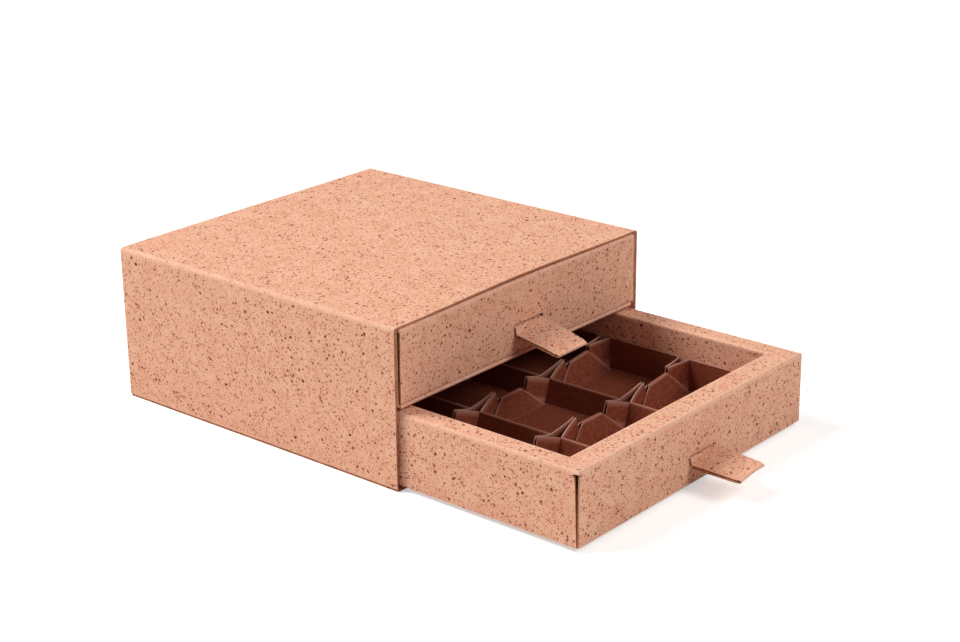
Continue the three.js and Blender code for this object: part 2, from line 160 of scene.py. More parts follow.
# %% [markdown]
# ## Flecked card
# Recycled card: the pulp is dyed peach, and chips of brown bark and unbleached fibre are
# stirred into it before the sheet is formed. The eye gets a matt, warm sheet with a dense red
# brown speckle of 0.2 to 0.8 mm, and here and there a darker chip of up to 1.2 mm. Where a fold
# is rubbed the top fibres are paler, and the same pale tone is also a painted highlight along
# the folds and edges, so each sheet carries an attribute that says how near a fold or an edge
# is. The pattern is a scatter of cells with one fleck in each at the most, whose size and tone
# are drawn at random. Most are small, because the number that gives the size is squared.

# %% Flecked card
FLECKS = (
    # cell mm, radius mm (smallest, largest), share of cells with one, colour, cover (least, most)
    (0.55, 0.12, 0.30, 1.00, 0xB26038, 0.35, 0.85),
    (0.85, 0.17, 0.42, 0.75, 0x903A18, 0.45, 0.90),
    (1.40, 0.20, 0.60, 0.45, 0x621E06, 0.70, 1.00),
)
FLECK_EDGE = 0.08                           # soft rim of a fleck, as a share of its cell
FLECK_SINK = -0.6                           # flecks lie lower than the fibres round them
FLECKS_LEFT = 0.45                          # how much of them a worn fold keeps
WANDER, WANDER_BY = 0.9, 0.8                # mm: the noise that bends the flecks, and how far
BLOTCH, TOOTH = 5.0, 0.35                   # mm: the two soft tones, the sheet's fibres
WEAR, WORN = 0.8, (0.35, 0.75)              # mm: the wear and painted highlight on a fold, and where it starts and ends
NOISE = (0.35, 0.65)                        # a noise seldom leaves this range
RELIEF, CARD_BUMP = 0.05, 0.12              # mm: depth of the bump, and its strength
PAPER_IOR = 1.45
SPECULAR_MATT = 0.1                         # loose fibres scatter nearly all of the gloss


def flecked_card(name, colour, blotch, worn_and_highlit_colour, roughness):
    """Base colour: two peach tones in soft blotches, three scatters of flecks over them, and a
    paler tone where the mesh's fold and edge attribute is high: worn fibres with a painted
    highlight. Bump: the sheet's tooth and the flecks. The radius of a fleck is
    smallest + (largest - smallest) d^2, for a random d from 0 to 1."""
    card = new_material(name)
    place = node(card, "TexCoord").outputs["Object"]
    wander = node(card, "TexNoise", _0=place, Scale=1 / (WANDER * MM), Detail=2.0)
    offset = node(card, "VectorMath", {"operation": "SUBTRACT"}, _0=wander.outputs["Color"],
                  _1=(0.5, 0.5, 0.5))
    offset = node(card, "VectorMath", {"operation": "SCALE"}, _0=offset, Scale=WANDER_BY * MM)
    bent = node(card, "VectorMath", {"operation": "ADD"}, _0=place, _1=offset)
    soft = node(card, "TexNoise", _0=place, Scale=1 / (BLOTCH * MM), Detail=3.0)
    soft = node(card, "MapRange", _0=soft, _1=NOISE[0], _2=NOISE[1])
    paint = node(card, "Mix", {"data_type": "RGBA"}, _0=soft, _6=linear(colour),
                 _7=linear(blotch)).outputs[2]
    wear_and_highlight = node(card, "Attribute", {"attribute_name": "wear_and_highlight"}).outputs["Fac"]
    keep = node(card, "MapRange", _0=wear_and_highlight, _3=1.0, _4=FLECKS_LEFT)
    covered = None
    for cell, smallest, largest, share, tone, least, most in FLECKS:
        grid = node(card, "TexVoronoi", {"feature": "F1", "voronoi_dimensions": "3D"},
                    Vector=bent, Scale=1 / (cell * MM), Randomness=1.0)
        # a cell's own colour goes with its place, so new numbers are drawn from that colour
        dice = node(card, "TexWhiteNoise", {"noise_dimensions": "3D"},
                    Vector=grid.outputs["Color"])
        draw = node(card, "SeparateColor", _0=dice.outputs["Color"])
        size = node(card, "Math", {"operation": "MULTIPLY"}, _0=draw, _1=draw)
        radius = node(card, "MapRange", _0=size, _3=smallest / cell, _4=largest / cell)
        exists = node(card, "Math", {"operation": "LESS_THAN"}, _0=draw.outputs[2], _1=share)
        reach = node(card, "Math", {"operation": "SUBTRACT"}, _0=radius,
                     _1=grid.outputs["Distance"])
        fleck = node(card, "MapRange", _0=reach, _2=FLECK_EDGE)
        tint = node(card, "MapRange", _0=draw.outputs[1], _3=least, _4=most)
        for other in (exists, tint, keep):
            fleck = node(card, "Math", {"operation": "MULTIPLY"}, _0=fleck, _1=other)
        paint = node(card, "Mix", {"data_type": "RGBA"}, _0=fleck, _6=paint,
                     _7=linear(tone)).outputs[2]
        if covered is None:
            covered = fleck
        else:
            covered = node(card, "Math", {"operation": "MAXIMUM"}, _0=covered, _1=fleck)
    # worn paleness and painted highlight: the pale colour along folds and edges, broken up by a
    # noise
    fray = node(card, "TexNoise", _0=place, Scale=1 / (WEAR * MM), Detail=2.0)
    fray = node(card, "MapRange", _0=fray, _1=WORN[0], _2=WORN[1])
    worn = node(card, "Math", {"operation": "MULTIPLY"}, _0=wear_and_highlight, _1=fray)
    paint = node(card, "Mix", {"data_type": "RGBA"}, _0=worn, _6=paint,
                 _7=linear(worn_and_highlit_colour)).outputs[2]
    tooth = node(card, "TexNoise", _0=place, Scale=1 / (TOOTH * MM), Detail=3.0)
    height = node(card, "Math", {"operation": "MULTIPLY_ADD"}, _0=covered, _1=FLECK_SINK,
                  _2=tooth)
    bump = node(card, "Bump", Strength=CARD_BUMP, Distance=RELIEF * MM, Height=height)
    shader = node(card, "BsdfPrincipled", Base_Color=paint, Roughness=roughness,
                  IOR=PAPER_IOR, Normal=bump)
    shader.inputs["Specular IOR Level"].default_value = SPECULAR_MATT
    node(card, "OutputMaterial", Surface=shader)
    return card


# the last colour is the pale tone of worn folds and edges, which is also a painted highlight
box_card = flecked_card("flecked_recycled_card", 0xF2BD9F, 0xECB092, 0xF6C6AC, 0.85)
cut_card = flecked_card("cut_edge_of_recycled_card", 0xC48A6A, 0xA87050, 0xC48A6A, 0.95)
print("made", box_card.name, "with", len(box_card.node_tree.nodes), "nodes")

# %% [markdown]
# ## Dark brown card
# The insert is thin card dyed through, matt and a little fibrous. Its cut edges show a paler
# core, and a painted highlight along its crests and cut ends, where they catch the light, draws
# the lines of the cells.

# %% Dark brown card
FIBRE = 0.45                                # mm: pitch of the fibres across the grain
GRAIN = (0.35, 1.0, 0.6)                    # how dense the pattern is along X, Y and Z
DARK_BUMP = 0.3


def dyed_card(name, dark, pale, edge, roughness):
    """Base colour: two browns in a fibrous noise that is stretched along X, and the edge's colour
    as a painted highlight in proportion to the fold and edge attribute. Bump: the same fibres."""
    card = new_material(name)
    place = node(card, "TexCoord").outputs["Object"]
    along = node(card, "Mapping", Vector=place, Scale=GRAIN)
    fibre = node(card, "TexNoise", _0=along, Scale=1 / (FIBRE * MM), Detail=5.0, Roughness=0.7)
    tone = node(card, "MapRange", _0=fibre, _1=NOISE[0], _2=NOISE[1])
    paint = node(card, "Mix", {"data_type": "RGBA"}, _0=tone, _6=linear(dark),
                 _7=linear(pale)).outputs[2]
    # painted highlight: the edge's colour along crests, folds and cut ends
    wear_and_highlight = node(card, "Attribute", {"attribute_name": "wear_and_highlight"}).outputs["Fac"]
    paint = node(card, "Mix", {"data_type": "RGBA"}, _0=wear_and_highlight, _6=paint, _7=linear(edge)).outputs[2]
    bump = node(card, "Bump", Strength=DARK_BUMP, Distance=RELIEF * MM, Height=fibre)
    shader = node(card, "BsdfPrincipled", Base_Color=paint, Roughness=roughness, IOR=PAPER_IOR,
                  Normal=bump)
    shader.inputs["Specular IOR Level"].default_value = SPECULAR_MATT
    node(card, "OutputMaterial", Surface=shader)
    return card


# the third colour is the painted highlight on crests and cut ends
dark_card = dyed_card("dark_brown_insert_card", 0x703522, 0x98533D, 0xB8806C, 0.8)
dark_cut_edge = dyed_card("cut_edge_of_dark_card", 0xA87868, 0xD8B0A2, 0xD8B0A2, 0.9)
print("made", dark_card.name, "and", dark_cut_edge.name)

# %% [markdown]
# ## How a folded sheet is made
# Card is a sheet of even thickness, and a fold is a tight arc between two flat runs. So each
# piece starts as the middle line of its section: corners joined by straight runs, each corner
# rounded. The line is carried along the piece, which gives a grid of points, and the grid is
# given its thickness to both sides. The alternative is to model flat panels and bevel them,
# but then the folds don't have the sheet's own thickness at their edges.

# %% Lines and stations
STEPS = 6                                   # facets in each rounded fold
REACH = 6.0                                 # longest flat facet along a sheet
FOLD_BAND = np.array([0.2, 0.55])              # extra points beside a fold, worn and given a painted highlight up to the last
CLEAR = 0.05                                # no other point lies this close to an arc
NEAR, TOUCH = 0.1, 0.01                     # what counts as near a height, and as at it


def unit(vectors):
    """Each vector divided by its length."""
    return vectors / np.maximum(np.linalg.norm(vectors, axis=-1, keepdims=True), 1e-12)


def distances(line):
    """Distance along a line of points: the running sum of the lengths of its steps."""
    return np.concatenate([[0.0], np.cumsum(np.linalg.norm(np.diff(line, axis=0), axis=1))])


def spaced(stations, closest=0.04):
    """Stations in order, without those that lie closer to the one before than closest."""
    stations = np.unique(np.round(stations, 4))
    return stations[np.concatenate([[True], np.diff(stations) > closest])]


def fold_line(corners, radii, extra=()):
    """Middle line of a folded sheet. Each inner corner P, with directions a in and b out, is the
    arc P - a r tan(turn / 2) + r (a sin t + n (1 - cos t)), t from 0 to the turn. Also gives how
    much worn paleness and painted highlight each point gets: 1 on an arc, falling to 0 a little
    way off it."""
    corners = np.array(corners, float)
    line, arcs = [corners[:1]], []
    for before, at, after, radius in zip(corners[:-2], corners[1:-1], corners[2:], radii):
        a, b = unit(at - before), unit(after - at)
        turn = math.acos(float(np.clip(a @ b, -1, 1)))
        n = np.array([-a[1], a[0]]) * np.sign(a[0] * b[1] - a[1] * b[0])
        t = np.linspace(0, turn, STEPS + 1)[:, None]
        arc = at - a * radius * math.tan(turn / 2) + radius * (a * np.sin(t) + n * (1 - np.cos(t)))
        arcs.append(len(arc))
        line.append(arc)
    line = np.concatenate(line + [corners[-1:]])
    along = distances(line)
    first = np.cumsum([1] + arcs[:-1]) if arcs else np.array([], int)
    starts, ends = along[first], along[first + STEPS] if arcs else along[first]
    near = np.concatenate([starts[:, None] - FOLD_BAND, ends[:, None] + FOLD_BAND]).ravel()
    regular = np.linspace(0, along[-1], int(along[-1] / REACH) + 2)
    flat = np.concatenate([near, regular, np.array(extra, float)])
    inside = (flat[:, None] > starts - CLEAR) & (flat[:, None] < ends + CLEAR)
    flat = flat[~inside.any(1) & (flat > 0) & (flat < along[-1])]
    stations = spaced(np.concatenate([along, flat]))
    points = np.stack([np.interp(stations, along, line[:, k]) for k in (0, 1)], axis=1)
    off = np.maximum(starts - stations[:, None], stations[:, None] - ends).clip(0)
    wear_and_highlight = (1 - off / FOLD_BAND[1]).clip(0, 1).max(1) if arcs else np.zeros(len(stations))
    return points, wear_and_highlight


def run(start, end, near=(0.25, 0.6)):
    """Stations from start to end: a few close to each end, the rest evenly spread."""
    between = np.linspace(start, end, int((end - start) / REACH) + 2)
    ends = np.concatenate([start + np.array(near), end - np.array(near)])
    return spaced(np.concatenate([between, ends]), closest=0.2)


def woven(x, y, z):
    """A grid of points from its x, y and z, each a row, a column or a whole grid."""
    return np.stack(np.broadcast_arrays(x, y, z), axis=-1)


example = fold_line([(0, 0), (9, 0), (9, 9)], [1])[0]
print("a square corner with a 1 mm fold has", len(example), "points")

# %% [markdown]
# ## From a grid to a mesh
# A grid of points becomes a closed sheet: one face on each side of the middle surface, and a
# strip round its cut edges. The cut edges get their own finish, because the inside of a card
# looks different from its face. One number goes with each point, which says how much worn
# paleness and painted highlight it gets. Where two parts of a mesh meet, the points that fall
# together become one.

# %% Sheets and pieces
SHARP = math.radians(38)                    # a fold's facets turn less than this, a cut more
MERGED = 2e-6                               # metres: points closer than this become one


def quads(a, b, c, d):
    """Faces from four equal arrays of point numbers."""
    return np.stack([a.ravel(), b.ravel(), c.ravel(), d.ravel()], axis=1)


def sheet(middle, thickness, wear_and_highlight):
    """A sheet round a grid of points middle[i, j]. Its sides are middle +- normal * thickness / 2,
    and normal is the direction of (step in i) x (step in j)."""
    n, m = middle.shape[:2]
    normal = unit(np.cross(np.gradient(middle, axis=0), np.gradient(middle, axis=1)))
    points = np.concatenate([
        (middle + normal * thickness / 2).reshape(-1, 3),
        (middle - normal * thickness / 2).reshape(-1, 3),
    ])
    o = np.arange(n * m).reshape(n, m)
    u = o + n * m
    faces = [
        quads(o[:-1, :-1], o[1:, :-1], o[1:, 1:], o[:-1, 1:]),
        quads(u[:-1, :-1], u[:-1, 1:], u[1:, 1:], u[1:, :-1]),
    ]
    cuts = [
        quads(o[:-1, 0], u[:-1, 0], u[1:, 0], o[1:, 0]),
        quads(o[:-1, -1], o[1:, -1], u[1:, -1], u[:-1, -1]),
        quads(o[0, :-1], o[0, 1:], u[0, 1:], u[0, :-1]),
        quads(o[-1, :-1], u[-1, :-1], u[-1, 1:], o[-1, 1:]),
    ]
    wear_and_highlight = np.broadcast_to(wear_and_highlight, (n, m))
    faces, cuts = np.concatenate(faces), np.concatenate(cuts)
    return points, np.concatenate([faces, cuts]), np.tile(wear_and_highlight.ravel(), 2), len(faces)


def edge_wear_and_highlight(fold_wear_and_highlight, stations, strength=0.5, width=0.5):
    """Worn paleness and painted highlight over a grid: the larger of the fold's and that of the
    two carried ends.
    """
    off = np.minimum(stations - stations.min(-1, keepdims=True),
                     stations.max(-1, keepdims=True) - stations)
    return np.maximum(fold_wear_and_highlight[:, None], strength * (1 - off / width).clip(0, 1))


def piece(name, parts, finishes, body, nodes, at=(0.0, 0.0, 0.0)):
    """One object from several (points, faces, wear and painted highlight, number of uncut
    faces). It is moved to its place in the mesh, joined where points fall together, and rides
    on its body."""
    points, faces, wear_and_highlights, kinds, count = [], [], [], [], 0
    for part_points, part_faces, wear_and_highlight, uncut in parts:
        points.append(part_points)
        faces.append(part_faces + count)
        wear_and_highlights.append(wear_and_highlight)
        kinds.append((np.arange(len(part_faces)) >= uncut).astype(np.int32))
        count += len(part_points)
    points = (np.concatenate(points) + np.array(at)) * MM
    mesh = bpy.data.meshes.new(name)
    mesh.from_pydata(points.tolist(), [], np.concatenate(faces).tolist())
    mesh.attributes.new("wear_and_highlight", "FLOAT", "POINT").data.foreach_set(
        "value", np.concatenate(wear_and_highlights).astype(np.float32))
    for finish in finishes:
        mesh.materials.append(finish)
    mesh.polygons.foreach_set("material_index", np.concatenate(kinds))
    mesh.polygons.foreach_set("use_smooth", np.ones(len(mesh.polygons), bool))
    work = bmesh.new()
    work.from_mesh(mesh)
    bmesh.ops.remove_doubles(work, verts=work.verts, dist=MERGED)
    open_edges = sum(1 for e in work.edges if len(e.link_faces) != 2)
    work.to_mesh(mesh)
    work.free()
    mesh.set_sharp_from_angle(angle=SHARP)
    made = bpy.data.objects.new(name, mesh)
    bpy.context.scene.collection.objects.link(made)
    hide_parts(*nodes)
    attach(made, body)
    print(f"{name}: {len(mesh.polygons)} faces, {open_edges} open edges,",
          f"{min(points[:, 2]) / MM:.1f} to {max(points[:, 2]) / MM:.1f} mm high")


# %% [markdown]
# ## Sleeve
# One sheet is wrapped into a square tube. It starts at the free edge of the floor, goes up the
# right wall, over the top and down the left wall, and ends in a lap that is glued over the
# floor, three millimetres behind the mouth. The section is drawn as one line and carried from
# the mouth to the back.

# %% Sleeve
SLEEVE_FOLD = 0.8                           # radius in the middle of the card
FLOOR_EDGE = 0.1                            # the floor's free edge, off the left wall
LAP_OVER = 0.02                             # the lap, over the floor
LAP_FRONT = (0.7, 1.2, 10.0), (0.0, 1.8, 3.0)   # its front end: place along it, behind the mouth
LAP_SHORT = 1.0                             # its rear end, in front of the sleeve's
CROWN = 1.0                                 # rise of the top in the middle of the mouth
SWAY, WAVE, WAVES = 0.08, 22.0, 4           # mm from flat, mm per radian, number of waves


def relaxed(grid, amount, seed):
    """Card is never quite flat. Each point p moves along the normal by amount * the mean of
    sin(k . p + phase) over a few long waves, whose k are drawn with a spread of 1 / WAVE."""
    draw = np.random.default_rng(seed)
    waves = draw.normal(size=(WAVES, 3)) / WAVE
    phases = draw.uniform(0, 2 * np.pi, WAVES)
    sway = np.sin(grid @ waves.T + phases).sum(-1, keepdims=True) / WAVES
    normal = unit(np.cross(np.gradient(grid, axis=0), np.gradient(grid, axis=1)))
    return grid + normal * sway * amount


def crowned(x, on_top, share):
    """The top has sprung up a little where nothing holds it, at the middle of the mouth: a rise of
    CROWN cos^2(pi x / width), which dies out towards the back as (1 - share)^1.5."""
    return CROWN * on_top * np.cos(np.pi * x / SLEEVE[0]) ** 2 * (1 - share) ** 1.5


half, wide, high = SLEEVE[0] / 2 - CARD / 2, SLEEVE[1] / 2, SLEEVE[2] - CARD / 2
lap_z = 1.5 * CARD + LAP_OVER
line, wear_and_highlight = fold_line(
    [(FLOOR_EDGE - half, CARD / 2), (half, CARD / 2), (half, high), (-half, high),
     (-half, lap_z), (half - CARD, lap_z)],
    [SLEEVE_FOLD, SLEEVE_FOLD, SLEEVE_FOLD, CARD / 2],
)
on_lap = distances(line) - distances(line)[-1] + 2 * half
back_off = np.interp(on_lap, *LAP_FRONT)[:, None]
share = run(0.0, SLEEVE[1]) / SLEEVE[1]
y = -wide + back_off + (SLEEVE[1] - back_off - LAP_SHORT * (back_off > 0)) * share
z = line[:, 1:] + crowned(line[:, :1], line[:, 1:] > high - NEAR, share)
grid = relaxed(woven(line[:, :1], y, z), SWAY, seed=1)
# the folds and the cut ends get worn paleness and a painted highlight
piece("sleeve_card", [sheet(grid, CARD, edge_wear_and_highlight(wear_and_highlight, y))],
      [box_card, cut_card], "sleeve", ["sleeve_wrap"])

# %% [markdown]
# ## Back panel
# The back is its own piece: a panel with a glue flap down each side, set into the tube's end.

# %% Back panel
BACK_FLAP, BACK_FOLD = 9.0, 0.5             # length of each flap, radius of its fold
side = SLEEVE[0] / 2 - CARD - SEAT - CARD / 2
rear = SLEEVE[1] / 2 - CARD / 2
flap_end = rear + CARD / 2 - BACK_FLAP
line, wear_and_highlight = fold_line([(-side, flap_end), (-side, rear), (side, rear), (side, flap_end)],
                      [BACK_FOLD, BACK_FOLD])
z = run(2 * CARD + SEAT, SLEEVE[2] - CARD - SEAT)
grid = woven(line[:, :1], line[:, 1:], z)
piece("sleeve_back_panel", [sheet(grid, CARD, edge_wear_and_highlight(wear_and_highlight, z))],
      [box_card, cut_card], "sleeve", ["sleeve_back"])

# %% [markdown]
# ## Shelf
# A sheet parts the two drawers. Its sides turn up and are glued inside the sleeve, and its
# front edge is folded back under it, which makes the pale double strip at the mouth. The hem
# stops short of the upturned corners, so a small dark hole stays at each end of it.

# %% Shelf
SHELF_TOP, SHELF_BACK, SHELF_FOLD = 27.3, 50.0, 1.1
HEM, HEM_FOLD, HEM_WEAR_AND_HIGHLIGHT = 13.0, 0.45, 0.7    # its length, its fold's radius, how much wear and painted highlight its folds get
HEM_STOP, HEM_STEP, HEM_TAPER = 57.5, 0.3, 2.0   # half width, the step beside it, its narrowing
HEM_JOIN = 0.03                             # between the floor's front edge and the hem
floor_z = SHELF_TOP - CARD / 2
mouth = -SLEEVE[1] / 2
hem_start = mouth + 2 * HEM_FOLD
side_top = SLEEVE[2] - CARD - SEAT
line, wear_and_highlight = fold_line([(-side, side_top), (-side, floor_z), (side, floor_z), (side, side_top)],
                      [SHELF_FOLD, SHELF_FOLD])
front = np.interp(np.abs(line[:, :1]), [HEM_STOP, HEM_STOP + HEM_STEP],
                  [hem_start + HEM_JOIN, mouth])
share = run(0.0, SHELF_BACK - mouth) / (SHELF_BACK - mouth)
y = front + (SHELF_BACK - front) * share
grid = woven(line[:, :1], y, line[:, 1:])
under = floor_z - 2 * HEM_FOLD
hem_line, hem_wear_and_highlight = fold_line(
    [(hem_start, floor_z), (mouth + CARD / 2, floor_z), (mouth + CARD / 2, under),
     (mouth + HEM, under)], [HEM_FOLD, HEM_FOLD])
taper = (distances(hem_line) / HEM * HEM_TAPER)[:, None]
x = (HEM_STOP - taper) * np.linspace(-1, 1, 25)
hem = woven(x, hem_line[:, :1], hem_line[:, 1:])
piece("shelf_card",
      [sheet(grid, CARD, edge_wear_and_highlight(wear_and_highlight, y)), sheet(hem, CARD, HEM_WEAR_AND_HIGHLIGHT * edge_wear_and_highlight(hem_wear_and_highlight, x))],
      [box_card, cut_card], "sleeve", ["middle_shelf"])

# %% [markdown]
# ## Tray frames
# Each drawer's walls are hollow: one sheet stands up outside, folds over a flat rim, goes down
# inside and turns in under the insert. The rim is unbroken round the corners, where the outer
# walls leave an open seam. The section is drawn once, with a wider rim for the front, and each
# wall is the section carried from one mitre to the next. Below the rim the outer walls stop
# short of the corner instead, and the front has a slot for the tab. The upper front's rim has
# sprung up a little in the middle.

# %% Tray frames
RIM, FRONT_RIM, RIM_FOLD = 7.4, 8.9, 0.75   # widths of the rim, outer radius of its folds
FOOT, FOOT_Z, FOOT_FOLD = 7.0, 0.9, 0.6     # the strip under the insert
ABOVE_FOOT, BELOW_RIM = 0.5, (0.35, 1.1)    # extra points of the outer wall
SEAMS = {"lower": (0.1, 0.8, 0.9), "upper": (1.0, 1.2, 0.3)}   # at the foot, the top, the notch
NOTCH_FROM = 0.94                           # share of the height where the notch begins
LEAN_GAP, LEAN, FLUSH_LEAN = 0.35, 0.3, 0.1   # left corner: gap and lean; right corner: lean
RIM_RISE = {"lower": 0.0, "upper": 0.55}    # of the front's rim, in the middle
SLOT_LOW, SLOT_HIGH = 6.85, 9.25            # heights of the tab's slot
SLOT = {"lower": (-4.0, 9.4), "upper": (-5.0, 9.3)}     # its left and right end
EVEN = 38.0                                 # a wall's inner points lie this near its middle
END_STEPS = (0.5, 1.6)                      # and two more this near each end
CUT_RUB, CUT_WIDE = 0.6, 0.8                # how worn the cut ends are, and how far in


def wall_section():
    """Outer and inner side of the hollow wall's sheet, as (distance in from the drawer's face,
    height), and its wear and painted highlight."""
    edge = CARD / 2
    top = DRAWER[2] - edge
    line, wear_and_highlight = fold_line(
        [(edge, 0.0), (edge, top), (RIM - edge, top), (RIM - edge, FOOT_Z + edge),
         (RIM + FOOT, FOOT_Z + edge)],
        [RIM_FOLD - edge, RIM_FOLD - edge, FOOT_FOLD],
        extra=(ABOVE_FOOT, SLOT_LOW, SLOT_HIGH, *(DRAWER[2] - RIM_FOLD - np.array(BELOW_RIM))))
    slope = unit(np.gradient(line, axis=0))
    normal = np.stack([-slope[:, 1], slope[:, 0]], axis=1)
    return line + normal * edge, line - normal * edge, wear_and_highlight


def widened(section):
    """The front's section: the flat of the rim is stretched, and what lies inside it moves in."""
    flat = ((section[:, 0] - RIM_FOLD) / (RIM - 2 * RIM_FOLD)).clip(0, 1)
    return section + np.stack([(FRONT_RIM - RIM) * flat, np.zeros(len(flat))], axis=1)


def slot_edges(number, rows, columns):
    """Cut faces round the slot. number holds the points' numbers, number[::-1] those across the
    sheet's thickness, and the slot spans these rows and columns."""
    other = number[::-1]
    edges = []
    for row, turn in ((rows[0], 1), (rows[-1], -1)):
        edges.append(quads(number[row, columns[:-1]], number[row, columns[1:]],
                           other[row, columns[1:]], other[row, columns[:-1]])[:, ::turn])
    for column, turn in ((columns[0], -1), (columns[-1], 1)):
        edges.append(quads(number[rows[:-1], column], number[rows[1:], column],
                           other[rows[1:], column], other[rows[:-1], column])[:, ::turn])
    return edges


def tray_wall(own, ends, facing, short, wear_and_highlight, slot=None):
    """One wall. own and ends are the loops of this wall and of those at its two ends, facing is
    'left', 'right', 'front' or 'back', and the two functions short give how far short of the
    drawer's corner each end of the outer wall stops at each height. slot is the left and right
    end of the tab's slot."""
    along_y = facing in ("left", "right")
    half_long, half_across = DRAWER[[1, 0] if along_y else [0, 1]] / 2
    count = len(own) // 2
    outer_wall = (own[:count, 0] < CARD) & (own[:count, 1] < DRAWER[2] - RIM_FOLD - TOUCH)
    outer_wall = np.concatenate([outer_wall, outer_wall[::-1]])
    low = np.where(outer_wall, half_long - short[0](own[:, 1]), half_long - ends[0][:, 0])
    high = np.where(outer_wall, half_long - short[1](own[:, 1]), half_long - ends[1][:, 0])
    # the front's line runs from right to left, so the slot's ends change sign; a wall without a
    # slot has its points where the lower front has them
    left, right = slot or SLOT["lower"]
    inner = np.concatenate([np.linspace(-EVEN, -right, 6), np.linspace(-left, EVEN, 7)])
    steps = np.array([0.0, *END_STEPS])
    place = np.concatenate([
        steps - low[:, None],
        np.broadcast_to(inner, (len(own), len(inner))),
        high[:, None] - steps[::-1],
    ], axis=1)
    # the left wall turned half round gives the right one, and the front gives the back
    turn = 1 if facing in ("left", "front") else -1
    across = turn * (own[:, :1] - half_across)
    if along_y:
        points = woven(across, turn * place, own[:, 1:])
    else:
        points = woven(-turn * place, across, own[:, 1:])
    number = np.arange(place.size).reshape(place.shape)
    after = np.roll(number, -1, axis=0)
    ring = np.stack([number[:, :-1], number[:, 1:], after[:, 1:], after[:, :-1]], -1)
    closing = np.zeros(len(own), bool)
    closing[[count - 1, 2 * count - 1]] = True
    opening = np.zeros(ring.shape[:2], bool)
    cuts = [ring[closing].reshape(-1, 4)]
    other = number[::-1]
    rows = np.flatnonzero(outer_wall[:count])
    for column, turn in ((0, 1), (-1, -1)):
        cap = quads(number[rows, column], number[rows + 1, column], other[rows + 1, column],
                    other[rows, column])
        cuts.append(cap[:, ::turn])
    if slot:
        z = own[:count, 1]
        in_slot = (z > SLOT_LOW - TOUCH) & (z < SLOT_HIGH + TOUCH)
        rows = np.flatnonzero(outer_wall[:count] & in_slot)
        x = place[rows[0]]
        columns = np.flatnonzero((x > -right - TOUCH) & (x < TOUCH - left))
        opening[rows[0]:rows[-1], columns[0]:columns[-1]] = True
        opening[2 * count - 1 - rows[-1]:2 * count - 1 - rows[0], columns[0]:columns[-1]] = True
        cuts += slot_edges(number, rows, columns)
    faces = ring[~closing[:, None] & ~opening].reshape(-1, 4)
    off = np.minimum(low[:, None] + place, high[:, None] - place)
    # worn paleness by the cut ends; the rim folds carry wear and a painted highlight
    near_cut = np.where(outer_wall[:, None], CUT_RUB * (1 - off / CUT_WIDE).clip(0, 1), 0.0)
    tray_wear_and_highlight = np.maximum(np.concatenate([wear_and_highlight, wear_and_highlight[::-1]])[:, None], near_cut)
    cuts = np.concatenate(cuts)
    return points.reshape(-1, 3), np.concatenate([faces, cuts]), tray_wear_and_highlight.ravel(), len(faces)


def seam(z, foot, top, notch):
    """Gap between a side wall's end and the corner: the front's thickness, a taper that widens
    upwards, and a notch under the rim."""
    rise = (z / (DRAWER[2] - RIM_FOLD)).clip(0, 1)
    in_notch = ((rise - NOTCH_FROM) / (1 - NOTCH_FROM)).clip(0, 1)
    return CARD + foot + (top - foot) * rise + notch * in_notch


def near_corner(z):
    """The front and back run nearly to the left corner, and the card leans in at the top."""
    return LEAN_GAP + LEAN * (z / DRAWER[2]).clip(0, 1) ** 2


def far_corner(z):
    """At the right corner they are flush at the foot and lean in less."""
    return FLUSH_LEAN * (z / DRAWER[2]).clip(0, 1)


def sprung(wall, rise):
    """The front's rim springs up in the middle: z + rise (z / height) (1 - (x / reach)^2)^2, and
    nothing past reach, where the mitres to the side walls begin."""
    points, *rest = wall
    reach = DRAWER[0] / 2 - FRONT_RIM
    across = (1 - (points[:, 0] / reach) ** 2).clip(0) ** 2
    points[:, 2] += rise * (points[:, 2] / DRAWER[2]) * across
    return (points, *rest)


outside, inside, section_wear_and_highlight = wall_section()
side_loop = np.concatenate([outside, inside[::-1]])
front_loop = np.concatenate([widened(outside), widened(inside)[::-1]])
for which, place in DRAWER_AT.items():
    side_ends = [lambda z, seams=SEAMS[which]: seam(z, *seams)] * 2
    walls = [
        tray_wall(side_loop, (front_loop, side_loop), "left", side_ends, section_wear_and_highlight),
        tray_wall(side_loop, (side_loop, front_loop), "right", side_ends, section_wear_and_highlight),
        sprung(tray_wall(front_loop, (side_loop, side_loop), "front", (far_corner, near_corner),
                         section_wear_and_highlight, SLOT[which]), RIM_RISE[which]),
        tray_wall(side_loop, (side_loop, side_loop), "back", (near_corner, far_corner),
                  section_wear_and_highlight),
    ]
    piece(f"{which}_tray_walls", walls, [box_card, cut_card], f"{which}_drawer",
          [f"{which}_tray_frame"], place)

# %% [markdown]
# ## Tray bases
# The floor of each drawer is another sheet, with flanges turned up inside the hollow walls at
# the sides and the back. It shows from below, and through the insert's die-cut corners.

